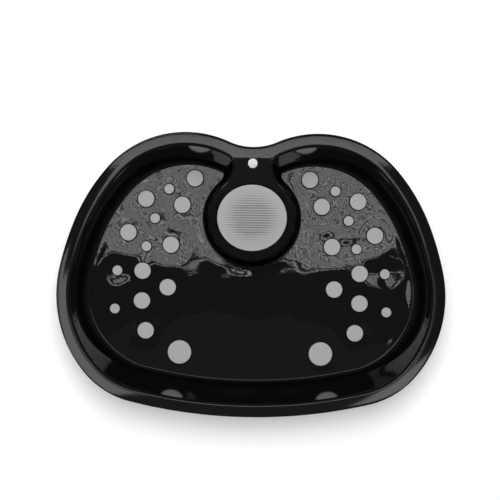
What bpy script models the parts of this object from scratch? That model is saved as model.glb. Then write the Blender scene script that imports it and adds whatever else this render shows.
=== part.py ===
"""Foot spa basin: a bean-shaped tub moulded from one plastic sheet, with a footrest island.

The frame's origin is on the table under the middle of the outline. +Z is up, +Y points at the
notch in the back rim, and the basin is symmetric about x = 0. All sizes below are millimetres;
the meshes are written in metres.

The tub is one sheet of even thickness. It runs from a flange with a hanging lip, over a rounded
crest, down drafted walls to a flat floor. From the back rim a bridge slopes down to a round island, whose
top has a recess for the footrest pad. The space under the bridge and the island is open.
"""

import math

import bmesh
import bpy
from mathutils import Matrix, Vector

MM = 0.001

# Heights above the table
FLOOR_HEIGHT = 7.0
RIM_HEIGHT = 112.0
SHEET = 3.0
GAP = 0.3  # between pieces that touch

# Half of the rim's outline, from the notch's middle to the front's middle, as arcs:
# radius and degrees turned. A positive radius curves towards the back, a negative one round the tub.
NOTCH_Y = 157.85
NOTCH_RADIUS = 72.9
BRIDGE_ARC = (NOTCH_RADIUS, 22.0)  # the stretch of the notch that the bridge meets
WELL_ARCS = (
    (NOTCH_RADIUS, 2.0),
    (-128.1, 73.4),
    (-232.4, 18.7),
    (-364.6, 9.8),
    (-151.2, 52.4),
    (-106.5, 36.1),
    (-623.8, 13.6),
)
ARC_STEP = 6.5  # most degrees between two stations on an arc
LONGEST_STEP = 26.0  # most millimetres between two stations

# The flange's section: nearly flat from the crest out, then a lip that hangs down
FLANGE_WIDTH = 13.0
FLANGE_TURN = 4.0  # degrees that the flange falls off towards its edge
FLANGE_STEPS = 2
LIP_CHAMFER = 2.4
LIP_DROP = 12.0  # from the crest to the lip's lower edge
CREST_RADIUS = 4.0
CREST_STEPS = 3
WALL_INSET = FLANGE_WIDTH + CREST_RADIUS

# How far the floor's edge lies inside the wall's top: at the back, the sides and the front
BACK_RUN = 17.3
SIDE_RUN = 11.0
FRONT_RUN = 19.0
BACK_TO_SIDE = (90.0, 370.0)  # millimetres along the outline over which the run changes
SIDE_TO_FRONT = (390.0, 510.0)
FLOOR_FILLET = 8.0
FLOOR_CREASE = 20.0  # degrees that the fillet is already turned where it leaves the floor
FILLET_STEPS = 3

# The bridge and the island
ISLAND_Y = 70.9
ISLAND_RADIUS = 55.5
ISLAND_FOOT_RADIUS = 65.4
NECK_HALF_WIDTH = 25.5
NECK_FOOT_RADIUS = 18.0
POCKET_TIP_RADIUS = 3.0
REST_SLOPE = 19.6  # degrees that the footrest falls towards the front
ISLAND_STEPS = 13
FILLET_ROUND_STEPS = 4
FLARE_STEPS = 6
HINGE_STEP = 2  # the station on the flare where the slope starts

# The footrest pad and its recess
PAD_RADIUS = 43.6
PAD_CLEARANCE = 1.9
RECESS_DEPTH = 6.0
PAD_PROUD = 1.0
PAD_CHAMFER = 1.0
RIB_PITCH = 3.2
RIB_WIDTH = 1.7
RIB_HEIGHT = 0.7
RIBBED_RADIUS = 38.0
ROUND_SIDES = 40
DRAIN_GROOVE = (4.0, 14.0, 1.3)  # width, length from the ring over the island's front edge, depth
DRAIN_START = 3.5  # beyond the recess's edge

HANGING_HOLE_Y = 137.8
HANGING_HOLE_RADIUS = 5.75
HANGING_HOLE_SIDES = 20

# Massage studs of the right side: x, y and size. The left side mirrors them.
STUD_RADIUS = {"small": 6.5, "medium": 10.8, "large": 15.4}
STUD_SIDES = {"small": 12, "medium": 14, "large": 20}
STUDS = (
    (75.3, 123.7, "medium"),
    (108.9, 109.3, "small"),
    (138.9, 96.0, "medium"),
    (91.4, 88.7, "medium"),
    (126.8, 70.6, "small"),
    (161.5, 51.7, "medium"),
    (105.5, 36.2, "medium"),
    (137.6, 33.8, "small"),
    (142.2, 1.6, "medium"),
    (175.2, 1.6, "small"),
    (109.0, -19.5, "medium"),
    (142.5, -37.4, "medium"),
    (177.8, -48.4, "small"),
    (137.0, -76.4, "medium"),
    (92.3, -104.1, "large"),
)
STUD_SOCKET_DEPTH = 1.6
STUD_CLEARANCE = 0.5
STUD_HEIGHT = 3.4  # above the floor
STUD_CHAMFER = 0.9

# Rubber feet of the right side
FEET = ((108.0, 112.0), (188.0, 2.0), (118.0, -106.0))
FOOT_RADIUS = 9.0
FOOT_TAPER = 1.0
FOOT_SIDES = 20


def clear_scene():
    for thing in list(bpy.data.objects):
        bpy.data.objects.remove(thing)


def plastic(name, colour, roughness):
    material = bpy.data.materials.new(name)
    material.use_nodes = True
    shader = material.node_tree.nodes["Principled BSDF"]
    shader.inputs["Base Color"].default_value = (*colour, 1.0)
    shader.inputs["Roughness"].default_value = roughness
    shader.inputs["Metallic"].default_value = 0.0
    return material


def new_object(name, bm, material=None, sharp=35.0):
    """The bmesh, in millimetres, as an object in metres."""
    bmesh.ops.scale(bm, vec=(MM, MM, MM), verts=bm.verts)
    mesh = bpy.data.meshes.new(name)
    bm.to_mesh(mesh)
    bm.free()
    mesh.shade_smooth()
    mesh.set_sharp_from_angle(angle=math.radians(sharp))
    if material:
        mesh.materials.append(material)
    thing = bpy.data.objects.new(name, mesh)
    bpy.context.collection.objects.link(thing)
    return thing


def smooth_step(low, high, value):
    t = min(max((value - low) / (high - low), 0.0), 1.0)
    return t * t * (3.0 - 2.0 * t)


def wall_run(distance):
    back_to_side = smooth_step(*BACK_TO_SIDE, distance) * (SIDE_RUN - BACK_RUN)
    side_to_front = smooth_step(*SIDE_TO_FRONT, distance) * (FRONT_RUN - SIDE_RUN)
    return BACK_RUN + back_to_side + side_to_front


class Station:
    """A place round the tub seen from above: the outline's edge, which way the well lies, and where
    the wall meets the floor. On the bridge and the island the wall's top lies on the slope."""

    def __init__(self, edge, inward, foot=None, sloped=False):
        self.edge = Vector(edge)
        self.inward = Vector(inward).normalized()
        self.foot = Vector(foot) if foot else None
        self.sloped = sloped

    def crest(self):
        return self.edge + self.inward * FLANGE_WIDTH

    def mirrored(self):
        flip = Vector((-1.0, 1.0))
        foot = self.foot * flip if self.foot else None
        return Station(self.edge * flip, self.inward * flip, foot, self.sloped)


def outline_stations(arcs, start, heading):
    """Stations along a chain of arcs that join smoothly, and their distances along it."""
    place = Vector(start)
    found = []
    distance = 0.0
    for radius, sweep in arcs:
        side = math.copysign(1.0, radius)
        length = abs(radius) * math.radians(sweep)
        steps = max(math.ceil(sweep / ARC_STEP), math.ceil(length / LONGEST_STEP))
        centre = place + Vector((-math.sin(heading), math.cos(heading))) * radius
        for step in range(steps + 1):
            turned = heading + side * math.radians(sweep) * step / steps
            outward = Vector((-math.sin(turned), math.cos(turned)))
            if step > 0 or not found:
                found.append((centre - outward * radius, -outward, distance + length * step / steps))
        heading += side * math.radians(sweep)
        place = found[-1][0]
        distance += length
    return found, heading


def arc(centre, radius, start, end, steps):
    """Points on an arc between two angles in radians."""
    turns = [start + (end - start) * step / steps for step in range(steps + 1)]
    return [Vector(centre) + Vector((math.cos(t), math.sin(t))) * radius for t in turns]


def circles_meet(first, first_radius, second, second_radius):
    """The point at these distances from two centres, on the right of the line between them."""
    between = Vector(second) - Vector(first)
    apart = between.length
    along = (first_radius**2 - second_radius**2 + apart**2) / (2.0 * apart)
    aside = math.sqrt(first_radius**2 - along**2)
    ahead = between / apart
    return Vector(first) + ahead * along + Vector((ahead.y, -ahead.x)) * aside


def angle_to(centre, point):
    towards = Vector(point) - Vector(centre)
    return math.atan2(towards.y, towards.x)


def half_edges():
    """The right half's stations: the notch over the bridge, the well's outer wall from there to
    the front's middle, and the wall of the bridge and island from the island's front to the notch."""
    notch, heading = outline_stations([BRIDGE_ARC], (0.0, NOTCH_Y), 0.0)
    well, _ = outline_stations(WELL_ARCS, notch[-1][0], heading)
    well[-1] = (Vector((0.0, well[-1][0].y)), Vector((0.0, 1.0)), well[-1][2])
    notch_stations = [Station(edge, inward) for edge, inward, _ in notch]
    bridge_length = notch[-1][2]
    well_stations = []
    for edge, inward, distance in well:
        reach = WALL_INSET + wall_run(bridge_length + distance)
        well_stations.append(Station(edge, inward, edge + inward * reach))

    # The wall's top: a flare from the notch into the neck, a fillet, and the island's circle.
    corner = math.radians(BRIDGE_ARC[1])
    notch_wall_radius = NOTCH_RADIUS + WALL_INSET
    flare = (notch_wall_radius * math.sin(corner) - NECK_HALF_WIDTH) / (1.0 - math.sin(corner))
    flare_y = NOTCH_Y + NOTCH_RADIUS - (notch_wall_radius + flare) * math.cos(corner)
    flare_centre = Vector((NECK_HALF_WIDTH + flare, flare_y))
    island = Vector((0.0, ISLAND_Y))
    rise = flare_y - ISLAND_Y
    fillet = (NECK_HALF_WIDTH**2 + rise**2 - ISLAND_RADIUS**2) / (2 * (ISLAND_RADIUS - NECK_HALF_WIDTH))
    fillet_centre = Vector((NECK_HALF_WIDTH + fillet, flare_y))
    flare_start = angle_to(flare_centre, well_stations[0].edge + well_stations[0].inward * WALL_INSET)
    join = angle_to(island, fillet_centre)

    # The wall's foot: the well ends in a narrow tip between the back wall and the neck.
    tip_centre = well_stations[0].foot + well_stations[0].inward * POCKET_TIP_RADIUS
    foot_centre = circles_meet(
        island, ISLAND_FOOT_RADIUS + NECK_FOOT_RADIUS, tip_centre, NECK_FOOT_RADIUS - POCKET_TIP_RADIUS
    )
    tip_end = angle_to(foot_centre, tip_centre) % math.tau
    foot_join = angle_to(island, foot_centre)

    stretches = (
        (ISLAND_STEPS, 1, island, ISLAND_RADIUS, -math.pi / 2, join,
         island, ISLAND_FOOT_RADIUS, -math.pi / 2, foot_join),
        (FILLET_ROUND_STEPS, -1, fillet_centre, fillet, join + math.pi, math.pi,
         foot_centre, NECK_FOOT_RADIUS, foot_join + math.pi, tip_end),
        (FLARE_STEPS, -1, flare_centre, flare, math.pi, flare_start,
         tip_centre, POCKET_TIP_RADIUS, tip_end, flare_start),
    )
    walls = []
    for steps, side, *arcs in stretches:
        tops = arc(*arcs[:4], steps)
        feet = arc(*arcs[4:], steps)
        for top, foot in list(zip(tops, feet))[:-1]:
            inward = (top - arcs[0]).normalized() * side
            walls.append(Station(top - inward * WALL_INSET, inward, foot, sloped=True))
    return notch_stations, well_stations, walls


def whole_loop(half):
    """A half's stations, and their mirror images before them. The first one is on the middle line."""
    left = [station.mirrored() for station in half[1:]]
    return list(reversed(left)) + list(half)


class RestPlane:
    """The sloping top of the bridge and island. It leaves the rim's height at hinge_y."""

    def __init__(self, hinge_y):
        self.hinge_y = hinge_y
        self.slope = math.radians(REST_SLOPE)
        self.normal = Vector((0.0, -math.sin(self.slope), math.cos(self.slope)))
        self.uphill = Vector((0.0, math.cos(self.slope), math.sin(self.slope)))
        self.centre = Vector((0.0, ISLAND_Y, self.height(ISLAND_Y)))

    def height(self, y):
        return RIM_HEIGHT - max(0.0, self.hinge_y - y) * math.tan(self.slope)

    def frame(self):
        """The matrix that lays things on the plane, with its origin at the pad's middle."""
        axes = Matrix((Vector((1.0, 0.0, 0.0)), self.uphill, self.normal)).transposed()
        return Matrix.Translation(self.centre) @ axes.to_4x4()


def wall_section(run, height):
    """The wall and its fillet, from the top down: distances inward and heights over the floor.
    The straight wall is tangent to the fillet, whose other end meets the floor in a crease."""
    crease = math.radians(90.0 - FLOOR_CREASE)
    centre = (run + FLOOR_FILLET * math.cos(crease), FLOOR_FILLET * math.sin(crease))
    slant = math.hypot(centre[0], height - centre[1])
    draft = math.acos(FLOOR_FILLET / slant) - math.atan2(height - centre[1], centre[0])
    section = []
    for step in range(FILLET_STEPS + 1):
        turn = draft + (crease - draft) * step / FILLET_STEPS
        inset = centre[0] - FLOOR_FILLET * math.cos(turn)
        section.append((inset, centre[1] - FLOOR_FILLET * math.sin(turn)))
    return section


def well_column(station, plane):
    """One station's points from the crest down to the floor."""
    wall_top = station.edge + station.inward * WALL_INSET
    column = []
    for step in range(CREST_STEPS, -1, -1):
        turn = math.pi / 2 * step / CREST_STEPS
        place = station.crest() + station.inward * CREST_RADIUS * math.cos(turn)
        top = plane.height(place.y) if station.sloped else RIM_HEIGHT
        column.append((place.x, place.y, top - CREST_RADIUS * (1.0 - math.sin(turn))))
    across = station.foot - wall_top
    wall_height = column[-1][2] - FLOOR_HEIGHT
    for inset, height in wall_section(across.length, wall_height):
        place = wall_top + across.normalized() * inset
        column.append((place.x, place.y, FLOOR_HEIGHT + height))
    return column


def flange_column(station):
    """One station's points from the crest over the flange to the lip's lower edge."""
    bow = FLANGE_WIDTH / math.sin(math.radians(FLANGE_TURN))
    section = []
    for step in range(FLANGE_STEPS + 1):
        out = (FLANGE_WIDTH - LIP_CHAMFER) * step / FLANGE_STEPS
        section.append((out, bow - math.sqrt(bow**2 - out**2)))
    section.append((FLANGE_WIDTH, section[-1][1] + LIP_CHAMFER))
    section.append((FLANGE_WIDTH, LIP_DROP))
    column = []
    for out, down in section:
        place = station.crest() - station.inward * out
        column.append((place.x, place.y, RIM_HEIGHT - down))
    return column


class Sheet:
    """A mesh in which points at the same place share one vertex."""

    def __init__(self):
        self.bm = bmesh.new()
        self.placed = {}

    def vertex(self, point):
        key = tuple(round(value, 3) for value in point)
        if key not in self.placed:
            self.placed[key] = self.bm.verts.new(point)
        return self.placed[key]

    def face(self, points):
        self.bm.faces.new([self.vertex(point) for point in points])

    def strip(self, columns):
        """Quads between neighbouring columns of points, all the way round."""
        for here, there in zip(columns, columns[1:] + columns[:1]):
            for a, b, c, d in zip(here, there, there[1:], here[1:]):
                self.face((a, b, c, d))

    def loop(self, points):
        verts = [self.vertex(point) for point in points]
        pairs = zip(verts, verts[1:] + verts[:1])
        return [self.bm.edges.get(pair) or self.bm.edges.new(pair) for pair in pairs]


def crest_point(station, plane):
    place = station.crest()
    return (place.x, place.y, plane.height(place.y))


def basin_sheet(notch, well, walls, plane, hinge):
    """The tub's upper surface as one open sheet, its faces up and into the tub."""
    sheet = Sheet()
    rim = whole_loop(notch + well[1:])[:-1]
    sheet.strip([flange_column(station) for station in rim])
    well_loop = whole_loop(walls + well)[:-1]
    columns = [well_column(station, plane) for station in well_loop]
    sheet.strip(columns)
    sheet.face([column[-1] for column in columns])

    level = whole_loop(notch + list(reversed(walls[hinge:])))
    sheet.face([crest_point(station, plane) for station in level])

    recess = []
    for depth in (0.0, -RECESS_DEPTH):
        circle = arc((0.0, 0.0), PAD_RADIUS + PAD_CLEARANCE, 0.0, math.tau, ROUND_SIDES)[:-1]
        recess.append([plane.frame() @ Vector((x, y, depth)) for x, y in circle])
    sheet.strip(list(zip(*recess)))
    sheet.face(recess[1])
    slope = [crest_point(station, plane) for station in whole_loop(walls[: hinge + 1])]
    edges = sheet.loop(slope) + sheet.loop(recess[0])
    bmesh.ops.triangle_fill(sheet.bm, use_beauty=True, edges=edges, normal=plane.normal)

    bmesh.ops.recalc_face_normals(sheet.bm, faces=sheet.bm.faces)
    floor = max(sheet.bm.faces, key=lambda face: face.calc_area())
    if floor.normal.z < 0.0:
        bmesh.ops.reverse_faces(sheet.bm, faces=sheet.bm.faces)
    return sheet.bm


def add_turned(bm, profile, sides, place=None):
    """A closed turned body: its profile is radii and heights from the bottom up."""
    rings = []
    for radius, height in profile:
        circle = arc((0.0, 0.0), radius, 0.0, math.tau, sides)[:-1]
        points = [Vector((x, y, height)) for x, y in circle]
        rings.append([bm.verts.new(place @ point if place else point) for point in points])
    for lower, upper in zip(rings, rings[1:]):
        for i in range(sides):
            j = (i + 1) % sides
            bm.faces.new((lower[i], lower[j], upper[j], upper[i]))
    bm.faces.new(list(reversed(rings[0])))
    bm.faces.new(rings[-1])


def add_box(bm, low, high, place):
    middle = [(a + b) / 2 for a, b in zip(low, high)]
    size = [b - a for a, b in zip(low, high)]
    matrix = place @ Matrix.Translation(middle) @ Matrix.Diagonal((*size, 1.0))
    bmesh.ops.create_cube(bm, size=1.0, matrix=matrix)


def stud_places():
    """Name, x, y and size of every massage stud."""
    for side, sign in (("right", 1.0), ("left", -1.0)):
        for number, (x, y, size) in enumerate(STUDS, start=1):
            yield f"massage_stud_{side}_{number:02d}", sign * x, y, size


def hide_tool(thing):
    thing.hide_render = True
    thing.display_type = "WIRE"


def apply_tool(target, tool, operation):
    cut = target.modifiers.new(tool.name, "BOOLEAN")
    cut.operation = operation
    cut.solver = "EXACT"
    cut.object = tool


def make_basin(material, plane, notch, well, walls, hinge):
    basin = new_object("basin_shell", basin_sheet(notch, well, walls, plane, hinge), material)
    thicken = basin.modifiers.new("sheet", "SOLIDIFY")
    thicken.thickness = SHEET * MM
    thicken.offset = -1.0
    thicken.use_even_offset = True

    bm = bmesh.new()
    for _, x, y, size in stud_places():
        radius = STUD_RADIUS[size] + STUD_CLEARANCE
        socket = ((radius, -STUD_SOCKET_DEPTH), (radius, STUD_HEIGHT))
        add_turned(bm, socket, STUD_SIDES[size], Matrix.Translation((x, y, FLOOR_HEIGHT)))
    through = ((HANGING_HOLE_RADIUS, -2 * SHEET - CREST_RADIUS), (HANGING_HOLE_RADIUS, CREST_RADIUS))
    add_turned(bm, through, HANGING_HOLE_SIDES, Matrix.Translation((0.0, HANGING_HOLE_Y, RIM_HEIGHT)))
    width, length, depth = DRAIN_GROOVE
    start = -(PAD_RADIUS + PAD_CLEARANCE + DRAIN_START)
    add_box(bm, (-width / 2, start - length, -depth), (width / 2, start, SHEET), plane.frame())
    cutter = new_object("basin_cutter", bm)
    hide_tool(cutter)
    apply_tool(basin, cutter, "DIFFERENCE")
    return basin


def make_pad(material, plane):
    """The ribbed footrest disc. Its origin is on the slope's surface, at the recess's middle."""
    bm = bmesh.new()
    profile = (
        (PAD_RADIUS, GAP - RECESS_DEPTH),
        (PAD_RADIUS, PAD_PROUD - PAD_CHAMFER),
        (PAD_RADIUS - PAD_CHAMFER, PAD_PROUD),
    )
    add_turned(bm, profile, ROUND_SIDES)
    pad = new_object("footrest_pad", bm, material)

    bm = bmesh.new()
    count = int(RIBBED_RADIUS / RIB_PITCH)
    for row in range(-count, count + 1):
        y = row * RIB_PITCH
        half = math.sqrt(RIBBED_RADIUS**2 - (abs(y) + RIB_WIDTH / 2) ** 2) if abs(row) < count else 0.0
        if half > 0.0:
            low = (-half, y - RIB_WIDTH / 2, PAD_PROUD - RIB_HEIGHT)
            high = (half, y + RIB_WIDTH / 2, PAD_PROUD + RIB_HEIGHT)
            add_box(bm, low, high, Matrix())
    ribs = new_object("pad_ribs", bm)
    hide_tool(ribs)
    apply_tool(pad, ribs, "UNION")
    place = plane.frame()
    place.translation *= MM
    for thing in (pad, ribs):
        thing.matrix_world = place
    return pad


def make_studs(material):
    meshes = {}
    for size, radius in STUD_RADIUS.items():
        bm = bmesh.new()
        profile = (
            (radius, GAP - STUD_SOCKET_DEPTH),
            (radius, STUD_HEIGHT - STUD_CHAMFER),
            (radius - STUD_CHAMFER, STUD_HEIGHT),
        )
        add_turned(bm, profile, STUD_SIDES[size])
        pattern = new_object(f"{size}_stud_pattern", bm, material)
        meshes[size] = pattern.data
        bpy.data.objects.remove(pattern)
    for name, x, y, size in stud_places():
        stud = bpy.data.objects.new(name, meshes[size])
        stud.location = Vector((x, y, FLOOR_HEIGHT)) * MM
        bpy.context.collection.objects.link(stud)


def make_feet(material):
    for side, sign in (("right", 1.0), ("left", -1.0)):
        for place, (x, y) in zip(("back", "middle", "front"), FEET):
            bm = bmesh.new()
            profile = ((FOOT_RADIUS - FOOT_TAPER, 0.0), (FOOT_RADIUS, FLOOR_HEIGHT - SHEET - GAP))
            add_turned(bm, profile, FOOT_SIDES)
            foot = new_object(f"rubber_foot_{place}_{side}", bm, material)
            foot.location = Vector((sign * x, y, 0.0)) * MM


def main():
    clear_scene()
    notch, well, walls = half_edges()
    hinge = len(walls) - FLARE_STEPS + HINGE_STEP
    plane = RestPlane(walls[hinge].crest().y)
    make_basin(plastic("gloss black plastic", (0.012, 0.012, 0.013), 0.1), plane, notch, well, walls, hinge)
    make_pad(plastic("grey pad rubber", (0.36, 0.36, 0.37), 0.5), plane)
    make_studs(plastic("grey stud rubber", (0.36, 0.36, 0.37), 0.4))
    make_feet(plastic("black rubber", (0.03, 0.03, 0.03), 0.8))


main()
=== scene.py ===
"""Looks for the foot spa basin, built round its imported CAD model. Sizes are millimetres until a
mesh is made; meshes are in metres."""

import math

import bmesh
import bpy
import numpy as np
from mathutils import Matrix, Vector, noise
from mathutils.geometry import delaunay_2d_cdt


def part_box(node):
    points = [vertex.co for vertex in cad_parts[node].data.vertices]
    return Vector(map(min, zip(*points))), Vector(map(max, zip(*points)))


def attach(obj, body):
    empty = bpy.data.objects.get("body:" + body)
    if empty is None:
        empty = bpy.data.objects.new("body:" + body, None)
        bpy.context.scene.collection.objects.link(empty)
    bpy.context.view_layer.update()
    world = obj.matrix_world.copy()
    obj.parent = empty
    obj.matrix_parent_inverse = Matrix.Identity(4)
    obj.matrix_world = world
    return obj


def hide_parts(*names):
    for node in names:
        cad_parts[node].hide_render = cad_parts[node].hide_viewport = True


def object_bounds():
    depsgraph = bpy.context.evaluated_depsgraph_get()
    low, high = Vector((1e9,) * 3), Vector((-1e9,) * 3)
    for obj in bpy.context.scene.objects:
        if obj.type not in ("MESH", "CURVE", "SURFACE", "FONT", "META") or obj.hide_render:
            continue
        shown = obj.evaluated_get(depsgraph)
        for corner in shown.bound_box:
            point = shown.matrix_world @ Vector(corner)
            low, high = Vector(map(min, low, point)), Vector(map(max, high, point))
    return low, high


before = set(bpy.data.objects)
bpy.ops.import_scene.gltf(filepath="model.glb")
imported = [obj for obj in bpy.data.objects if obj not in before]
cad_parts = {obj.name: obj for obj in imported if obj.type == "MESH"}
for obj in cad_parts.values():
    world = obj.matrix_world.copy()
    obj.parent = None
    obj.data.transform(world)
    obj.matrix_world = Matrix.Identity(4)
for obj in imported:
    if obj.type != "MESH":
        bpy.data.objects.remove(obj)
cad_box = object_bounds()

MM = 0.001
SHEET = 3.0

# Heights. The rim's and the floor's are read off the frame
RIM_HEIGHT = cad_box[1][2] / MM
STUD_HEIGHT = 3.4
FLOOR_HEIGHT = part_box("massage_stud_right_01")[1].z / MM - STUD_HEIGHT

# The outline, as in the CAD: arcs of radius and degrees turned from the notch to the front
NOTCH_Y = 157.85
NOTCH_RADIUS = 72.9
BRIDGE_ARC = (NOTCH_RADIUS, 22.0)
WELL_ARCS = (
    (NOTCH_RADIUS, 2.0),
    (-128.1, 73.4),
    (-232.4, 18.7),
    (-364.6, 9.8),
    (-151.2, 52.4),
    (-106.5, 36.1),
    (-623.8, 13.6),
)
STATION_SPACING = 2.6

# Sections
FLANGE_WIDTH = 13.0
FLANGE_TURN = math.radians(4.0)
CREST_RADIUS = 4.0
LIP_RADIUS = 1.1
LIP_DROP = 12.0
WALL_INSET = FLANGE_WIDTH + CREST_RADIUS
BACK_RUN = 17.3
SIDE_RUN = 11.0
FRONT_RUN = 19.0
BACK_TO_SIDE = (90.0, 370.0)
SIDE_TO_FRONT = (390.0, 510.0)
FLOOR_FILLET = 8.0
SIDE_FILLET = 14.0
TO_SIDE_FILLET = (60.0, 160.0)
FROM_SIDE_FILLET = (430.0, 520.0)
FLOOR_CREASE = math.radians(20.0)
CREASE_RADIUS = 3.0
CREASE_STEPS = 6
CREST_STEPS = 8
FLANGE_SHARES = (0.0, 0.08, 0.2, 0.4, 0.6, 0.8, 1.0)  # the narrow first step is for the shading
LIP_STEPS = 6
LIP_CORNER = 0.5  # least distance of the underside's points from the corner inside the lip
WALL_STEPS = 14
FILLET_STEPS = 10

# The bridge and the island
ISLAND_Y = 70.9
ISLAND_RADIUS = 55.5
ISLAND_FOOT_RADIUS = 65.0
ISLAND_FOOT_Y = 71.9
NECK_HALF_WIDTH = 25.5
NECK_FOOT_RADIUS = 18.0
POCKET_TIP_RADIUS = 3.0
REST_SLOPE = math.radians(19.6)
HINGE_Y = 141.85
HINGE_SOFTNESS = 1.6
RECESS_RADIUS = 45.5
RECESS_DEPTH = 6.0
DRAIN_HALF_WIDTH = 2.0
DRAIN_DEPTH = 1.3
DRAIN_START = RECESS_RADIUS + 3.5
DRAIN_SPACING = 0.6
DRAIN_STATIONS = 4  # how many times closer the stations are where the groove crosses the wall
HANGING_HOLE_Y = 137.8
HANGING_HOLE_RADIUS = 5.75


def smooth_step(low, high, value):
    t = min(max((value - low) / (high - low), 0.0), 1.0)
    return t * t * (3.0 - 2.0 * t)


def sag(y):
    """How far the bridge and the island's top lie under the rim."""
    past = (HINGE_Y - y) / HINGE_SOFTNESS
    soft = past if past > 30.0 else math.log1p(math.exp(past))
    return HINGE_SOFTNESS * soft * math.tan(REST_SLOPE)


def drain(x, y):
    """How deep the drain groove is, in front of the recess."""
    across = smooth_step(0.7 * DRAIN_HALF_WIDTH, DRAIN_HALF_WIDTH, abs(x))
    downhill = (ISLAND_Y - y) / math.cos(REST_SLOPE)
    return DRAIN_DEPTH * (1.0 - across) * smooth_step(DRAIN_START, DRAIN_START + 1.0, downhill)


def slope_height(x, y):
    """The top of the bridge and the island, with the drain groove."""
    return RIM_HEIGHT - sag(y) - drain(x, y)


def arc_at(centre, radius, start, end, shares):
    turns = [start + (end - start) * share for share in shares]
    return [Vector(centre) + Vector((math.cos(t), math.sin(t))) * radius for t in turns]


def arc(centre, radius, start, end, steps):
    return arc_at(centre, radius, start, end, [step / steps for step in range(steps + 1)])


def circles_meet(first, first_radius, second, second_radius):
    between = Vector(second) - Vector(first)
    apart = between.length
    along = (first_radius**2 - second_radius**2 + apart**2) / (2.0 * apart)
    aside = math.sqrt(first_radius**2 - along**2)
    ahead = between / apart
    return Vector(first) + ahead * along + Vector((ahead.y, -ahead.x)) * aside


def angle_to(centre, point):
    towards = Vector(point) - Vector(centre)
    return math.atan2(towards.y, towards.x)


def wall_run(distance):
    back_to_side = smooth_step(*BACK_TO_SIDE, distance) * (SIDE_RUN - BACK_RUN)
    side_to_front = smooth_step(*SIDE_TO_FRONT, distance) * (FRONT_RUN - SIDE_RUN)
    return BACK_RUN + back_to_side + side_to_front


def fillet_radius(distance):
    share = smooth_step(*TO_SIDE_FILLET, distance) - smooth_step(*FROM_SIDE_FILLET, distance)
    return FLOOR_FILLET + share * (SIDE_FILLET - FLOOR_FILLET)


class Station:
    """A place round the tub seen from above: the outline's edge, which way the well lies, where
    the wall meets the floor and the radius there."""

    def __init__(self, edge, inward, foot=None, sloped=False, fillet=FLOOR_FILLET):
        self.edge = Vector(edge)
        self.inward = Vector(inward).normalized()
        self.foot = Vector(foot) if foot else None
        self.sloped = sloped
        self.fillet = fillet

    def crest(self):
        return self.edge + self.inward * FLANGE_WIDTH

    def mirrored(self):
        flip = Vector((-1.0, 1.0))
        foot = self.foot * flip if self.foot else None
        return Station(self.edge * flip, self.inward * flip, foot, self.sloped, self.fillet)


def outline_stations(arcs, start, heading):
    place = Vector(start)
    found = []
    distance = 0.0
    for radius, sweep in arcs:
        side = math.copysign(1.0, radius)
        length = abs(radius) * math.radians(sweep)
        steps = max(2, math.ceil(length / STATION_SPACING))
        centre = place + Vector((-math.sin(heading), math.cos(heading))) * radius
        for step in range(steps + 1):
            turned = heading + side * math.radians(sweep) * step / steps
            outward = Vector((-math.sin(turned), math.cos(turned)))
            if step > 0 or not found:
                found.append((centre - outward * radius, -outward, distance + length * step / steps))
        heading += side * math.radians(sweep)
        place = found[-1][0]
        distance += length
    return found, heading


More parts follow.
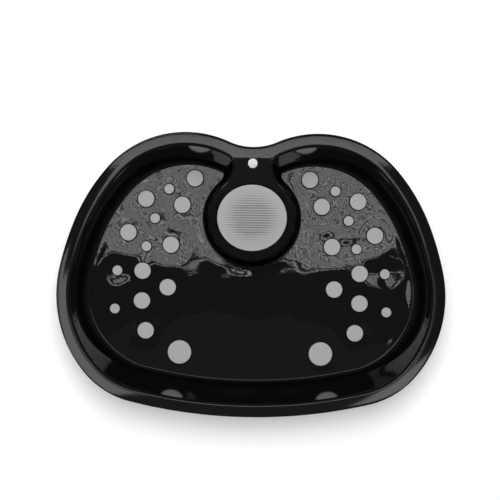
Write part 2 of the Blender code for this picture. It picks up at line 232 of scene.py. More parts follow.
def half_edges():
    """The right half's stations on the notch, the well's outer wall, and the bridge and island."""
    notch, heading = outline_stations([BRIDGE_ARC], (0.0, NOTCH_Y), 0.0)
    well, _ = outline_stations(WELL_ARCS, notch[-1][0], heading)
    well[-1] = (Vector((0.0, well[-1][0].y)), Vector((0.0, 1.0)), well[-1][2])
    notch_stations = [Station(edge, inward, sloped=True) for edge, inward, _ in notch]
    well_stations = []
    for edge, inward, distance in well:
        reach = WALL_INSET + wall_run(notch[-1][2] + distance)
        fillet = fillet_radius(notch[-1][2] + distance)
        well_stations.append(Station(edge, inward, edge + inward * reach, fillet=fillet))
    well_stations[0].sloped = True

    corner = math.radians(BRIDGE_ARC[1])
    notch_wall_radius = NOTCH_RADIUS + WALL_INSET
    flare = (notch_wall_radius * math.sin(corner) - NECK_HALF_WIDTH) / (1.0 - math.sin(corner))
    flare_y = NOTCH_Y + NOTCH_RADIUS - (notch_wall_radius + flare) * math.cos(corner)
    flare_centre = Vector((NECK_HALF_WIDTH + flare, flare_y))
    island = Vector((0.0, ISLAND_Y))
    rise = flare_y - ISLAND_Y
    fillet = (NECK_HALF_WIDTH**2 + rise**2 - ISLAND_RADIUS**2) / (2 * (ISLAND_RADIUS - NECK_HALF_WIDTH))
    fillet_centre = Vector((NECK_HALF_WIDTH + fillet, flare_y))
    flare_start = angle_to(flare_centre, well_stations[0].edge + well_stations[0].inward * WALL_INSET)
    join = angle_to(island, fillet_centre)

    tip_centre = well_stations[0].foot + well_stations[0].inward * POCKET_TIP_RADIUS
    island_foot = Vector((0.0, ISLAND_FOOT_Y))
    foot_centre = circles_meet(
        island_foot, ISLAND_FOOT_RADIUS + NECK_FOOT_RADIUS,
        tip_centre, NECK_FOOT_RADIUS - POCKET_TIP_RADIUS,
    )
    tip_end = angle_to(foot_centre, tip_centre) % math.tau
    foot_join = angle_to(island_foot, foot_centre)

    stretches = (
        (1, island, ISLAND_RADIUS, -math.pi / 2, join,
         island_foot, ISLAND_FOOT_RADIUS, -math.pi / 2, foot_join),
        (-1, fillet_centre, fillet, join + math.pi, math.pi,
         foot_centre, NECK_FOOT_RADIUS, foot_join + math.pi, tip_end),
        (-1, flare_centre, flare, math.pi, flare_start,
         tip_centre, POCKET_TIP_RADIUS, tip_end, flare_start),
    )
    walls = []
    for side, *arcs in stretches:
        steps = max(6, math.ceil(abs(arcs[3] - arcs[2]) * arcs[1] / (STATION_SPACING * 0.7)))
        shares = [step / steps for step in range(steps)]
        if not walls:
            fine = DRAIN_STATIONS * steps
            shares = [part / fine for part in range(2 * DRAIN_STATIONS)] + shares[2:]
        for top, foot in zip(arc_at(*arcs[:4], shares), arc_at(*arcs[4:], shares)):
            inward = (top - arcs[0]).normalized() * side
            walls.append(Station(top - inward * WALL_INSET, inward, foot, sloped=True))
    return notch_stations, well_stations, walls


def whole_loop(half):
    left = [station.mirrored() for station in half[1:]]
    return list(reversed(left)) + list(half)


def wall_section(run, height, fillet):
    """The wall, its fillet and the crease at the floor, from the top down: distance inward,
    height, and the normal's tilt from level. The wall is tangent to the fillet."""
    crease = math.pi / 2 - FLOOR_CREASE
    run -= CREASE_RADIUS * math.sin(FLOOR_CREASE)
    rise = CREASE_RADIUS * (1.0 - math.cos(FLOOR_CREASE))
    centre = (run + fillet * math.cos(crease), fillet * math.sin(crease) + rise)
    slant = math.hypot(centre[0], height - centre[1])
    draft = math.acos(fillet / slant) - math.atan2(height - centre[1], centre[0])
    foot_inset = centre[0] - fillet * math.cos(draft)
    foot_height = centre[1] - fillet * math.sin(draft)
    section = []
    for step in range(1, WALL_STEPS):
        share = step / WALL_STEPS
        section.append((foot_inset * share, height + (foot_height - height) * share, draft))
    for step in range(FILLET_STEPS + 1):
        turn = draft + (crease - draft) * step / FILLET_STEPS
        inset = centre[0] - fillet * math.cos(turn)
        section.append((inset, centre[1] - fillet * math.sin(turn), turn))
    for step in range(1, CREASE_STEPS + 1):
        lean = FLOOR_CREASE * (1.0 - step / CREASE_STEPS)
        inset = run + CREASE_RADIUS * (math.sin(FLOOR_CREASE) - math.sin(lean))
        section.append((inset, CREASE_RADIUS * (1.0 - math.cos(lean)), math.pi / 2 - lean))
    return section


def lifted(place, height):
    return Vector((place.x, place.y, height))


def along(station, level, up):
    """A direction made of a part along the station's inward way and a part upwards."""
    return Vector((station.inward.x * level, station.inward.y * level, up))


def well_column(station):
    """Points and normals from the crest down to the floor's edge."""
    column = []
    for step in range(CREST_STEPS, -1, -1):
        turn = math.pi / 2 * step / CREST_STEPS
        place = station.crest() + station.inward * CREST_RADIUS * math.cos(turn)
        top = RIM_HEIGHT - (sag(place.y) if station.sloped else 0.0)
        height = top - CREST_RADIUS * (1.0 - math.sin(turn))
        if station.sloped:
            height = min(height, slope_height(place.x, place.y))
        column.append((lifted(place, height), along(station, math.cos(turn), math.sin(turn))))
    wall_top = column[-1][0]
    across = station.foot - wall_top.xy
    for inset, height, tilt in wall_section(across.length, wall_top.z - FLOOR_HEIGHT, station.fillet):
        place = wall_top.xy + across.normalized() * inset
        column.append((lifted(place, FLOOR_HEIGHT + height), along(station, math.cos(tilt), math.sin(tilt))))
    return column


def flange_section():
    """The flange from the crest out and down the lip: distance out, drop and the normal's lean."""
    lip_out = FLANGE_WIDTH - LIP_RADIUS
    bow = (lip_out + LIP_RADIUS * math.sin(FLANGE_TURN)) / math.sin(FLANGE_TURN)
    section = []
    for share in FLANGE_SHARES:
        turn = FLANGE_TURN * share
        section.append((bow * math.sin(turn), bow * (1.0 - math.cos(turn)), turn))
    lip_down = section[-1][1] + LIP_RADIUS * math.cos(FLANGE_TURN)
    for step in range(1, LIP_STEPS + 1):
        turn = FLANGE_TURN + (math.pi / 2 - FLANGE_TURN) * step / LIP_STEPS
        section.append((lip_out + LIP_RADIUS * math.sin(turn), lip_down - LIP_RADIUS * math.cos(turn), turn))
    section.append((FLANGE_WIDTH, (lip_down + LIP_DROP) / 2, math.pi / 2))
    section.append((FLANGE_WIDTH, LIP_DROP, math.pi / 2))
    return section


def flange_point(station, out, down):
    place = station.crest() - station.inward * out
    sunk = sag(place.y) if station.sloped else 0.0
    return lifted(place, RIM_HEIGHT - down - sunk)


def flange_column(station):
    return [flange_point(station, out, down) for out, down, _ in flange_section()]


def flange_underside(station):
    """The flange's other face. It turns down inside the lip with a square corner."""
    column = []
    flat = flange_section()[: len(FLANGE_SHARES)]
    for out, down, lean in flat:
        out -= SHEET * math.sin(lean)
        if out < FLANGE_WIDTH - SHEET - LIP_CORNER:
            column.append(flange_point(station, out, down + SHEET * math.cos(lean)))
    for down in (flat[-1][1] + SHEET, LIP_DROP):
        column.append(flange_point(station, FLANGE_WIDTH - SHEET, down))
    return column


# ---------------------------------------------------------------- the floor's waves

SINK_DEPTH = 0.30
SINK_REACH = 11.0
RIPPLES = ((0.24, 52.0), (0.080, 21.0))  # height and size of the moulding's waves
SOCKET_DEPTH = 1.6
SOCKET_CLEARANCE = 0.25  # at the socket's bottom
SOCKET_SLOPE = 1.1  # how much wider the socket is at the floor


def stud_nodes():
    """Name, middle and radius of every massage stud, read off the frame."""
    for name in sorted(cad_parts):
        if name.startswith("massage_stud"):
            low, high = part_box(name)
            middle = (low + high) / (2 * MM)
            yield name, Vector((middle.x, middle.y)), (high.x - low.x) / (2 * MM)


def floor_wave(x, y, studs):
    """The moulded floor isn't quite flat: it is sunk a little round each stud, with long waves."""
    height = 0.0
    for _, middle, radius in studs:
        distance = max(math.hypot(x - middle.x, y - middle.y) - radius, 0.0)
        if distance < 3 * SINK_REACH:
            height -= SINK_DEPTH * math.exp(-((distance / SINK_REACH) ** 2))
    for size, reach in RIPPLES:
        height += size * noise.noise(Vector((x / reach, y / reach, reach)))
    return height


class Skin:
    """A mesh in which points at the same place share one vertex."""

    def __init__(self):
        self.bm = bmesh.new()
        self.placed = {}

    def vertex(self, point):
        key = tuple(round(value, 3) for value in point)
        if key not in self.placed:
            self.placed[key] = self.bm.verts.new(point)
        return self.placed[key]

    def face(self, points):
        verts = [self.vertex(point) for point in points]
        if len(set(verts)) == len(verts):
            self.bm.faces.new(verts)

    def strip(self, columns, closed=True):
        pairs = list(zip(columns, columns[1:])) + ([(columns[-1], columns[0])] if closed else [])
        for here, there in pairs:
            for a, b, c, d in zip(here, there, there[1:], here[1:]):
                self.face((a, b, c, d))

    def patch(self, outer, holes, spacing, height, extra=()):
        """A triangulated region between closed loops of points, with inner points on a grid and
        extra ones."""
        loops = [outer] + holes
        rim = np.array([(point[0], point[1]) for loop in loops for point in loop])
        xs = np.arange(rim[:, 0].min(), rim[:, 0].max(), spacing)
        inner = []
        for row, y in enumerate(np.arange(rim[:, 1].min(), rim[:, 1].max(), spacing * 0.866)):
            line = np.stack([xs + (spacing / 2 if row % 2 else 0.0), np.full(len(xs), y)], axis=1)
            apart = np.hypot(*(line[:, None] - rim[None]).transpose(2, 0, 1)).min(axis=1)
            kept = line[(apart > spacing * 0.6) & inside(loops, line)]
            inner += [Vector((float(x), float(y))) for x, y in kept]
        self.triangulate(loops, inner + list(extra), height)

    def triangulate(self, loops, inner, height):
        """The region inside the first loop and outside the others. The loops' own points are kept,
        so that neighbouring strips share them; the inner ones get their height here."""
        flat = [Vector((point[0], point[1])) for loop in loops for point in loop]
        edges = []
        start = 0
        for loop in loops:
            count = len(loop)
            edges += [(start + i, start + (i + 1) % count) for i in range(count)]
            start += count
        verts, _, faces, origins, _, _ = delaunay_2d_cdt(flat + inner, edges, [], 0, 1e-4)
        points = []
        for vert, sources in zip(verts, origins):
            if sources and sources[0] < len(flat):
                index = sources[0]
                for loop in loops:
                    if index < len(loop):
                        points.append(tuple(loop[index]))
                        break
                    index -= len(loop)
            else:
                points.append((vert.x, vert.y, height(vert.x, vert.y)))
        flat_verts = np.array([tuple(vert) for vert in verts])
        middles = np.array([flat_verts[list(face)].mean(axis=0) for face in faces])
        for face, within in zip(faces, inside(loops, middles)):
            if within:
                self.face([points[i] for i in face])


def inside(loops, places):
    """Whether each place lies within the first loop and outside the others, by crossings."""
    crossings = np.zeros(len(places), int)
    for loop in loops:
        ends = np.array([(point[0], point[1]) for point in loop])
        for (ax, ay), (bx, by) in zip(ends, np.roll(ends, -1, axis=0)):
            if ay != by:
                spans = (ay > places[:, 1]) != (by > places[:, 1])
                crossings += spans & (places[:, 0] < ax + (places[:, 1] - ay) * (bx - ax) / (by - ay))
    return crossings % 2 == 1


# ---------------------------------------------------------------- the shell

SHELL_SHARP = 40.0  # degrees between faces past which an edge is sharp
PIECE_SHARP = 50.0
WAVE_FADE = 12.0  # the floor's waves die out this close to its edge
FLOOR_GRID = 3.0  # spacing of a patch's inner points
UNDERSIDE_GRID = 12.0
SLOPE_GRID = 2.4
SLOPE_UNDERSIDE_GRID = 5.0

RECESS_ROUND = 0.2
RECESS_RINGS = (36.0, 24.0, 12.0, 4.0)
SUPPORT = 0.3  # width of the flat ring that keeps a rounding from bending its neighbours
BOSS_RING = 30.0
ROUND_SIDES = 144
HOLE_ROUND = 0.8
HOLE_SIDES = 40


def make_mesh(name, skin, material, body, cad_node, sharp=PIECE_SHARP, place=None):
    """The skin, in millimetres, as a piece of the object that stands for a CAD node."""
    bm = skin.bm
    bmesh.ops.recalc_face_normals(bm, faces=bm.faces)
    bmesh.ops.scale(bm, vec=(MM, MM, MM), verts=bm.verts)
    mesh = bpy.data.meshes.new(name)
    bm.to_mesh(mesh)
    bm.free()
    mesh.shade_smooth()
    mesh.set_sharp_from_angle(angle=math.radians(sharp))
    mesh.materials.append(material)
    thing = bpy.data.objects.new(name, mesh)
    if place:
        thing.matrix_world = place
    bpy.context.scene.collection.objects.link(thing)
    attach(thing, body)
    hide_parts(cad_node)
    return thing


def underside(column):
    """The column's points moved down into the sheet's other face."""
    return [point - normal.normalized() * SHEET for point, normal in column]


def upside_down(columns):
    return [list(reversed(column)) for column in columns]


def ends(columns, index):
    return [column[index] for column in columns]


def rest_matrix():
    """Lays things on the footrest's slope, with its origin at the recess's middle."""
    normal = Vector((0.0, -math.sin(REST_SLOPE), math.cos(REST_SLOPE)))
    uphill = Vector((0.0, math.cos(REST_SLOPE), math.sin(REST_SLOPE)))
    axes = Matrix((Vector((1.0, 0.0, 0.0)), uphill, normal)).transposed()
    centre = Vector((0.0, ISLAND_Y, RIM_HEIGHT - sag(ISLAND_Y)))
    return Matrix.Translation(centre) @ axes.to_4x4()


def turned(profile, sides, place):
    """Columns of points round an axis, one for each side."""
    columns = []
    for side in range(sides):
        turn = math.tau * side / sides
        columns.append([place @ Vector((r * math.cos(turn), r * math.sin(turn), z)) for r, z in profile])
    return columns


def rounding(centre, radius, start, end, steps):
    """Points of a section's round, as radii and heights. Angles in degrees."""
    return [tuple(point) for point in arc(centre, radius, math.radians(start), math.radians(end), steps)]


def recess_profile():
    edge = [(RECESS_RADIUS + RECESS_ROUND + SUPPORT, 0.0)]
    edge += rounding((RECESS_RADIUS + RECESS_ROUND, -RECESS_ROUND), RECESS_ROUND, 90, 180, 5)
    foot = rounding((RECESS_RADIUS - RECESS_ROUND, RECESS_ROUND - RECESS_DEPTH), RECESS_ROUND, 0, -90, 4)
    return edge + foot + [(radius, -RECESS_DEPTH) for radius in RECESS_RINGS]


def boss_profile():
    """The underside of the recess."""
    wall, bottom = RECESS_RADIUS + SHEET, -RECESS_DEPTH - SHEET
    return [(wall, -SHEET), (wall, bottom), (BOSS_RING, bottom)]


def stud_collar(radius, centre, floor_height):
    """The edge and wall of a stud's socket, from the floor down to the socket's bottom."""
    inner = radius + SOCKET_CLEARANCE
    columns = []
    sides = max(28, int(radius * 3.6))
    for side in range(sides):
        way = Vector((math.cos(math.tau * side / sides), math.sin(math.tau * side / sides)))
        edge = centre + way * (inner + SOCKET_SLOPE)
        top = lifted(edge, floor_height(edge.x, edge.y))
        columns.append([top, lifted(centre + way * inner, FLOOR_HEIGHT - SOCKET_DEPTH)])
    return columns


def hanging_hole():
    """The hole's rounded edge and its wall down through the sheet."""
    eyelet = [(HANGING_HOLE_RADIUS + HOLE_ROUND + SUPPORT, 0.0)]
    eyelet += rounding((HANGING_HOLE_RADIUS + HOLE_ROUND, -HOLE_ROUND), HOLE_ROUND, 90, 180, 5)
    columns = []
    for side in range(HOLE_SIDES):
        turn = math.tau * side / HOLE_SIDES
        column = []
        for r, z in eyelet:
            x, y = r * math.cos(turn), HANGING_HOLE_Y + r * math.sin(turn)
            column.append(Vector((x, y, RIM_HEIGHT - sag(y) + z)))
        x, y = column[-1].xy
        column.append(Vector((x, y, top_underside(x, y))))
        columns.append(column)
    return columns


def drain_points():
    """Closer points on the island's top where the drain groove is, as far as its crest."""
    crest_y = ISLAND_Y - ISLAND_RADIUS + CREST_RADIUS
    start_y = ISLAND_Y - DRAIN_START * math.cos(REST_SLOPE)
    ys = np.arange(crest_y + DRAIN_SPACING, start_y + 2 * DRAIN_SPACING, DRAIN_SPACING)
    xs = np.linspace(-1.3 * DRAIN_HALF_WIDTH, 1.3 * DRAIN_HALF_WIDTH, 13)
    return [Vector((float(x), float(y))) for y in ys for x in xs]


def top_underside(x, y):
    lean = math.atan(math.tan(REST_SLOPE) / (1 + math.exp((y - HINGE_Y) / HINGE_SOFTNESS)))
    return RIM_HEIGHT - sag(y) - SHEET / math.cos(lean)


def slope_underside(station):
    """The upper end of the sheet's other face at one station, as the other strips have it."""
    return (underside(well_column(station)) if station.foot else flange_underside(station))[0]


def floor_underside(x, y):
    return FLOOR_HEIGHT - SHEET


def add_flange(skin, stations):
    tops = [flange_column(station) for station in stations]
    unders = [flange_underside(station) for station in stations]
    skin.strip(tops)
    skin.strip(upside_down(unders))
    skin.strip([[top[-1], under[-1]] for top, under in zip(tops, unders)])


def add_well(skin, stations):
    """The walls, and the floor with its waves and the studs' sockets."""
    columns = [well_column(station) for station in stations]
    tops = [[point for point, _ in column] for column in columns]
    unders = [underside(column) for column in columns]
    skin.strip(tops)
    skin.strip(upside_down(unders))

    studs = list(stud_nodes())
    edge = np.array([tuple(point.xy) for point in ends(tops, -1)])

    def floor_height(x, y):
        apart = float(np.hypot(edge[:, 0] - x, edge[:, 1] - y).min())
        return FLOOR_HEIGHT + floor_wave(x, y, studs) * smooth_step(0.0, WAVE_FADE, apart)

    holes = []
    for _, middle, radius in studs:
        collar = stud_collar(radius, middle, floor_height)
        skin.strip(collar)
        skin.face(ends(collar, -1))
        holes.append(ends(collar, 0))
    skin.patch(ends(tops, -1), holes, FLOOR_GRID, floor_height)
    skin.patch(ends(unders, -1), [], UNDERSIDE_GRID, floor_underside)


def add_slope(skin, stations):
    """The top of the bridge and island, with the recess and the hanging hole."""
    outline = [lifted(station.crest(), slope_height(*station.crest())) for station in stations]
    low_outline = [slope_underside(station) for station in stations]
    recess = turned(recess_profile(), ROUND_SIDES, rest_matrix())
    boss = turned(boss_profile(), ROUND_SIDES, rest_matrix())
    hole = hanging_hole()
    skin.strip(recess)
    skin.face(ends(recess, -1))
    skin.strip(upside_down(boss))
    skin.face(ends(boss, -1))
    skin.strip(hole)
    skin.patch(outline, [ends(recess, 0), ends(hole, 0)], SLOPE_GRID, slope_height, drain_points())
    skin.patch(low_outline, [ends(boss, 0), ends(hole, -1)], SLOPE_UNDERSIDE_GRID, top_underside)


def make_shell(material):
    notch, well, walls = half_edges()
    skin = Skin()
    add_flange(skin, whole_loop(notch + well[1:])[:-1])
    add_well(skin, whole_loop(walls + well)[:-1])
    add_slope(skin, whole_loop(notch + list(reversed(walls)))[:-1])
    make_mesh("tub", skin, material, "basin", "basin_shell", sharp=SHELL_SHARP)


# ---------------------------------------------------------------- pad, studs and feet

PAD_ROUND = 0.8
PAD_UNDERCUT = 2.3
PAD_MARGIN = 0.6  # from the flat's edge to the outermost inner points
PAD_GRID = 2.2
RIB_PITCH = 3.2
GROOVE_DEPTH = 1.2
GROOVED_RADIUS = 40.0
ROWS_PER_RIB = 8

STUD_GAP = 0.3  # under the stud, in its socket
STUD_ROUND = 0.8
STUD_CROWN = 0.08
CROWN_RINGS = (0.8, 0.6, 0.4, 0.2)

FOOT_ROUND = 1.2
FOOT_HOLLOW = 0.8
FOOT_SIDES = 56


def lathe(profile, sides):
    """A closed skin turned round the Z axis."""
    skin = Skin()
    columns = turned(profile, sides, Matrix())
    skin.strip(columns)
    skin.face(ends(columns, 0))
    skin.face(ends(columns, -1))
    return skin


def pad_points(radius):
    """Rows of points that follow the ribs."""
    count = int(radius / RIB_PITCH)
    points = []
    for rib in range(-count, count + 1):
        for row in range(ROWS_PER_RIB):
            y = (rib + row / ROWS_PER_RIB) * RIB_PITCH
            reach = (radius - PAD_ROUND - PAD_MARGIN) ** 2 - y * y
            if reach > 1.0:
                half = math.sqrt(reach)
                steps = max(2, int(2 * half / PAD_GRID))
                points += [Vector((-half + 2 * half * step / steps, y)) for step in range(steps + 1)]
    return points


def make_pad(material):
    """The ribbed footrest disc, which lies in the recess on the slope."""
    low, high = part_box("footrest_pad")
    radius = (high.x - low.x) / (2 * MM)
    place = rest_matrix()
    to_slope = place.inverted()
    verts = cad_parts["footrest_pad"].data.vertices
    heights = [(to_slope @ (Vector(vert.co) / MM)).z for vert in verts]
    base, proud = min(heights), max(heights)

    def ribbed(x, y):
        fade = 1.0 - smooth_step(0.45 * GROOVED_RADIUS, GROOVED_RADIUS, math.hypot(x, y))
        return proud - GROOVE_DEPTH * fade * (0.5 + 0.5 * math.cos(math.tau * y / RIB_PITCH))

    skin = Skin()
    edge = rounding((radius - PAD_ROUND, proud - PAD_ROUND), PAD_ROUND, 0, 90, 6)
    columns = turned([(radius - PAD_UNDERCUT, base)] + edge, ROUND_SIDES, Matrix())
    skin.strip(columns)
    skin.face(ends(columns, 0))
    skin.triangulate([ends(columns, -1)], pad_points(radius), ribbed)
    place.translation *= MM
    make_mesh("footrest_disc", skin, material, "footrest", "footrest_pad", place=place)


def make_stud(name, middle, radius, material):
    edge = rounding((radius - STUD_ROUND, STUD_HEIGHT - STUD_ROUND - STUD_CROWN), STUD_ROUND, 0, 80, 6)
    crown = [(radius * share, STUD_HEIGHT - STUD_CROWN * share**2) for share in CROWN_RINGS]
    skin = lathe([(radius, STUD_GAP - SOCKET_DEPTH)] + edge + crown, max(40, int(radius * 6)))
    place = Matrix.Translation(Vector((middle.x, middle.y, FLOOR_HEIGHT)) * MM)
    piece = name.replace("massage_stud", "stud")
    make_mesh(piece, skin, material, "basin", name, place=place)


def make_foot(name, material):
    low, high = (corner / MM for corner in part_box(name))
    radius = (high.x - low.x) / 2
    profile = [(radius, high.z)] + rounding((radius - FOOT_ROUND, FOOT_ROUND), FOOT_ROUND, 0, -90, 5)
    profile += [(radius - 3.0, 0.0), (radius - 3.6, FOOT_HOLLOW), (3.0, FOOT_HOLLOW), (2.4, 0.0)]
    place = Matrix.Translation(Vector(((low.x + high.x) / 2, (low.y + high.y) / 2, 0.0)) * MM)
    piece = name.replace("rubber_foot", "foot")
    make_mesh(piece, lathe(profile, FOOT_SIDES), material, "basin", name, place=place)


# ---------------------------------------------------------------- materials

# Object coordinates, in metres
FLOOR_LEVELS = (0.0085, 0.0100)
FLANGE_LEVELS = (0.1095, 0.1110)
WALL_FACING = (0.25, 0.70)  # the normal's Z
FLOW_BUMP = 0.000006
SPECKLE_BUMP = 0.000016
PLASTIC_DARK = (0.0018, 0.0018, 0.0019)
PLASTIC_LIGHT = (0.0036, 0.0036, 0.0038)
PLASTIC_ROUGHNESS = 0.008
FLANGE_ROUGHNESS = 0.04  # more than elsewhere
WALL_ROUGHNESS = 0.05
PAD_COLOUR = (0.45, 0.45, 0.453)
STUD_COLOUR = (0.43, 0.43, 0.433)
GROOVE_FADE = (0.014, 0.041)
GROOVE_SHADE = 0.50
RUBBER_BUMP = 0.00002
FOOT_DARK = (0.018, 0.018, 0.018)
FOOT_LIGHT = (0.040, 0.040, 0.040)


class Nodes:
    """Short ways to build a node tree. An input is named with _ for each space."""

    def __init__(self, tree):
        self.tree = tree

    def feed(self, socket, value):
        if isinstance(value, bpy.types.NodeSocket):
            self.tree.links.new(value, socket)
        else:
            socket.default_value = value

    def feed_named(self, node, inputs):
        for name, value in inputs.items():
            self.feed(node.inputs[name.replace("_", " ")], value)

    def add(self, kind, **inputs):
        node = self.tree.nodes.new("ShaderNode" + kind)
        self.feed_named(node, inputs)
        return node

    def position(self):
        return self.add("TexCoord").outputs["Object"]

    def split(self, vector):
        return self.add("SeparateXYZ", Vector=vector).outputs

    def noise(self, where, scale, detail=2.0, distortion=0.0, roughness=0.5):
        settings = dict(Scale=scale, Detail=detail, Distortion=distortion, Roughness=roughness)
        return self.add("TexNoise", Vector=where, **settings).outputs["Fac"]

    def operate(self, kind, operation, values):
        node = self.add(kind)
        node.operation = operation
        for socket, value in zip(node.inputs, values):
            self.feed(socket, value)
        return node.outputs

    def math(self, operation, a, b=0.0, c=0.0):
        return self.operate("Math", operation, (a, b, c))[0]

    def vector(self, operation, *values):
        return self.operate("VectorMath", operation, values)

    def between(self, value, low, high, out_low=0.0, out_high=1.0):
        limits = dict(From_Min=low, From_Max=high, To_Min=out_low, To_Max=out_high)
        node = self.add("MapRange", Value=value, **limits)
        node.interpolation_type = "SMOOTHSTEP"
        return node.outputs[0]

    def mix(self, share, a, b):
        node = self.add("Mix")
        node.data_type = "RGBA"
        self.feed(node.inputs[0], share)
        for socket, colour in ((node.inputs[6], a), (node.inputs[7], b)):
            self.feed(socket, (*colour, 1.0) if isinstance(colour, tuple) else colour)
        return node.outputs[2]

    def bump(self, height, distance, **normal):
        return self.add("Bump", Height=height, Distance=distance, **normal).outputs["Normal"]

    def shade(self, **inputs):
        self.feed_named(self.tree.nodes["Principled BSDF"], inputs)


def new_look(name):
    """A new material and its nodes."""
    material = bpy.data.materials.new(name)
    material.use_nodes = True
    return material, Nodes(material.node_tree)


def basin_plastic():
    """Glossy black plastic. It flows a little on the floor and is duller on the flange and walls."""
    material, look = new_look("basin plastic")
    place = look.position()
    height = look.split(place)["Z"]
    on_floor = look.between(height, *FLOOR_LEVELS, 1.0, 0.0)
    on_flange = look.between(height, *FLANGE_LEVELS)
    facing = look.split(look.add("TexCoord").outputs["Normal"])["Z"]
    on_wall = look.between(look.math("ABSOLUTE", facing), *WALL_FACING, 1.0, 0.0)

    warp = look.add("TexNoise", Vector=place, Scale=18.0, Detail=2.0).outputs["Color"]
    bent = look.vector("MULTIPLY_ADD", warp, (0.05, 0.05, 0.0), place)["Vector"]
    flow = look.math("SUBTRACT", look.noise(bent, 150.0, 1.5), 0.5)
    grain = look.noise(place, 420.0)
    speckle = look.math("MULTIPLY", grain, look.math("MULTIPLY_ADD", on_flange, 0.8, 0.2))
    normal = look.bump(look.math("MULTIPLY", flow, on_floor), FLOW_BUMP)
    normal = look.bump(speckle, SPECKLE_BUMP, Normal=normal)

    scuffs = look.noise(place, 26.0, 6.0, roughness=0.65)
    tone = look.mix(scuffs, PLASTIC_DARK, PLASTIC_LIGHT)
    rough = look.math("MULTIPLY_ADD", scuffs, 0.02, PLASTIC_ROUGHNESS)
    rough = look.math("MULTIPLY_ADD", on_flange, FLANGE_ROUGHNESS, rough)
    rough = look.math("MULTIPLY_ADD", on_wall, WALL_ROUGHNESS, rough)
    look.shade(Base_Color=tone, Roughness=rough, Normal=normal, IOR=1.5)
    return material


def scaled(colour, share):
    return tuple(value * share for value in colour)


def grooves(look, place):
    """Painted shade in the pad's grooves, which fade towards its edge, from 0 to 1."""
    turn = look.math("COSINE", look.math("MULTIPLY", look.split(place)["Y"], math.tau / (RIB_PITCH * MM)))
    distance = look.vector("LENGTH", place)["Value"]
    fade = look.between(distance, *GROOVE_FADE, 1.0, 0.0)
    return look.math("MULTIPLY", look.math("MULTIPLY_ADD", turn, 0.5, 0.6), fade)


def light_rubber(name, colour, roughness, grooved=False):
    material, look = new_look(name)
    place = look.position()
    cloud = look.noise(place, 60.0, 4.0)
    dots = look.noise(place, 2200.0)
    share = look.math("MULTIPLY_ADD", dots, 0.5, look.math("MULTIPLY", cloud, 0.5))
    tone = look.mix(share, scaled(colour, 0.86), colour)
    if grooved:
        # painted shade: darker in the grooves and towards the pad's middle
        tone = look.mix(grooves(look, place), tone, scaled(colour, GROOVE_SHADE))
    rough = look.math("MULTIPLY_ADD", cloud, 0.15, roughness)
    look.shade(Base_Color=tone, Roughness=rough, Normal=look.bump(dots, RUBBER_BUMP), IOR=1.45)
    return material


def foot_rubber():
    material, look = new_look("foot rubber")
    worn = look.noise(look.position(), 240.0, 5.0, roughness=0.6)
    rough = look.math("MULTIPLY_ADD", worn, 0.2, 0.65)
    tone = look.mix(worn, FOOT_DARK, FOOT_LIGHT)
    look.shade(Base_Color=tone, Roughness=rough, Normal=look.bump(worn, 0.0001))
    return material


# ---------------------------------------------------------------- stage, light and camera

FLOOR_HALF_SIZE = 12.0
FLOOR_GLOW = 0.26
WORLD_STRENGTH = 0.105

# Lights at different heights, because one that overlaps another at the same height hides it
SOFTBOX_HEIGHT = 2.0
GLOW_HEIGHT = 2.1
KEY_HEIGHT = 2.3
TOP_MIDDLE = 0.265
TOP_SIZE = (1.30, 0.59)

CAMERA_PLACE = (-0.0019, 0.0308, 1.707)
CAMERA_LENS = 93.33
CAMERA_ROLL = 0.83


def make_stage():
    material, look = new_look("stage floor")
    tone = look.mix(look.noise(look.position(), 3.0, 3.0), (0.88, 0.88, 0.88), (0.90, 0.90, 0.90))
    look.shade(Base_Color=tone, Roughness=0.9, Specular_IOR_Level=0.0)
    look.shade(Emission_Color=(1.0, 1.0, 1.0, 1.0), Emission_Strength=FLOOR_GLOW)
    bm = bmesh.new()
    bmesh.ops.create_grid(bm, x_segments=24, y_segments=24, size=FLOOR_HALF_SIZE)
    mesh = bpy.data.meshes.new("stage_floor")
    bm.to_mesh(mesh)
    bm.free()
    mesh.materials.append(material)
    floor = bpy.data.objects.new("stage_floor", mesh)
    bpy.context.scene.collection.objects.link(floor)


def softbox(name, middle, size, radiance, turn=0.0, shape="RECTANGLE", height=SOFTBOX_HEIGHT):
    """An overhead light that faces straight down. Turn is in degrees, seen from above."""
    light = bpy.data.lights.new(name, "AREA")
    light.shape = shape
    light.size, light.size_y = size
    area = size[0] * size[1] * (math.pi / 4 if shape == "ELLIPSE" else 1.0)
    light.energy = radiance * math.pi * area
    thing = bpy.data.objects.new(name, light)
    thing.location = (*middle, height)
    thing.rotation_euler = (0.0, 0.0, math.radians(turn))
    bpy.context.scene.collection.objects.link(thing)
    return thing


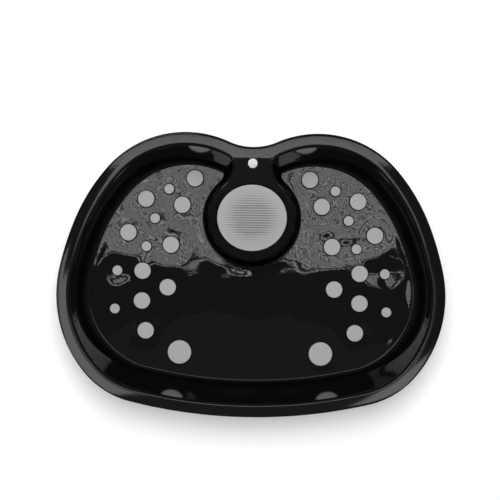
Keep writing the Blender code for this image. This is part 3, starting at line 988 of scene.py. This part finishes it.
def uneven_cloth(light):
    """The top softbox seen in the gloss: a cloth with faint wrinkles, narrower towards the front,
    and a bright hem along its front edge."""
    light.use_nodes = True
    look = Nodes(light.node_tree)
    across = look.add("NewGeometry").outputs["Parametric"]
    corner = (-TOP_SIZE[0] / 2, TOP_MIDDLE - TOP_SIZE[1] / 2, 0.0)
    place = look.vector("MULTIPLY_ADD", across, (*TOP_SIZE, 0.0), corner)["Vector"]
    axes = look.split(place)
    x, y = look.math("ABSOLUTE", look.math("ADD", axes["X"], 0.025)), axes["Y"]
    flare = look.math("MULTIPLY_ADD", y, 1.5, -0.08)
    half = look.math("MINIMUM", look.math("MAXIMUM", flare, 0.41), 0.60)
    within = look.between(look.math("SUBTRACT", x, half), -0.004, 0.004, 1.0, 0.0)
    cloth = look.between(y, 0.003, 0.005)
    hem = look.math("MULTIPLY", look.between(y, -0.024, -0.022), look.between(y, -0.010, -0.008, 1.0, 0.0))
    wave = look.add("TexWave", Vector=place, Scale=27.0, Distortion=15.0, Detail=1.0, Detail_Scale=0.5)
    wave.bands_direction = "DIAGONAL"
    patchy = look.between(look.noise(place, 9.0), 0.34, 0.52)
    wrinkle = look.math("MULTIPLY", look.math("SUBTRACT", wave.outputs["Fac"], 0.5), patchy)
    mottle = look.math("SUBTRACT", look.noise(place, 50.0, 3.0, 1.0), 0.5)
    falling = look.between(y, 0.30, 0.60, 1.0, 0.8)
    power = look.math("MULTIPLY_ADD", wrinkle, 1.7, look.math("MULTIPLY_ADD", mottle, 1.6, falling))
    power = look.math("MULTIPLY", power, look.math("MULTIPLY", within, look.math("ADD", cloth, hem)))
    look.feed(look.tree.nodes["Emission"].inputs["Strength"], power)


def make_light():
    world = bpy.data.worlds.new("studio")
    world.use_nodes = True
    background = world.node_tree.nodes["Background"]
    background.inputs["Color"].default_value = (1.0, 1.0, 1.0, 1.0)
    background.inputs["Strength"].default_value = WORLD_STRENGTH
    bpy.context.scene.world = world
    key = softbox("key", (0.02, 0.52), (0.80, 1.30), 15.5, shape="ELLIPSE", height=KEY_HEIGHT)
    key.visible_glossy = False
    uneven_cloth(softbox("top_softbox", (0.0, TOP_MIDDLE), TOP_SIZE, 2.6).data)
    softbox("front_glow", (0.0, -0.78), (1.79, 1.22), 0.065, shape="ELLIPSE", height=GLOW_HEIGHT)
    softbox("left_softbox", (-0.64, -0.11), (0.28, 0.38), 2.4)
    softbox("left_low_softbox", (-0.63, -0.41), (0.50, 0.46), 2.4, turn=-36.9)
    softbox("left_far_softbox", (-1.10, -0.10), (0.60, 0.40), 0.9)
    softbox("right_softbox", (0.55, -0.50), (0.42, 0.34), 2.5, turn=-8.0)
    softbox("right_strip", (0.47, -0.10), (0.04, 0.40), 2.6)
    softbox("back_softbox", (-0.50, 0.95), (0.80, 0.60), 0.9)


def make_camera():
    camera = bpy.data.cameras.new("camera")
    camera.lens = CAMERA_LENS
    camera.sensor_width = 36.0
    camera.clip_end = 20.0
    thing = bpy.data.objects.new("camera", camera)
    thing.location = CAMERA_PLACE
    thing.rotation_euler = (0.0, 0.0, math.radians(CAMERA_ROLL))
    bpy.context.scene.collection.objects.link(thing)
    bpy.context.scene.camera = thing


def main():
    bpy.context.scene.view_settings.view_transform = "Standard"
    make_shell(basin_plastic())
    make_pad(light_rubber("pad rubber", PAD_COLOUR, 0.45, grooved=True))
    stud_material = light_rubber("stud rubber", STUD_COLOUR, 0.4)
    for name, middle, radius in stud_nodes():
        make_stud(name, middle, radius, stud_material)
    foot_material = foot_rubber()
    for name in sorted(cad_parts):
        if name.startswith("rubber_foot"):
            make_foot(name, foot_material)
    make_stage()
    make_light()
    make_camera()


main()
bpy.context.view_layer.update()
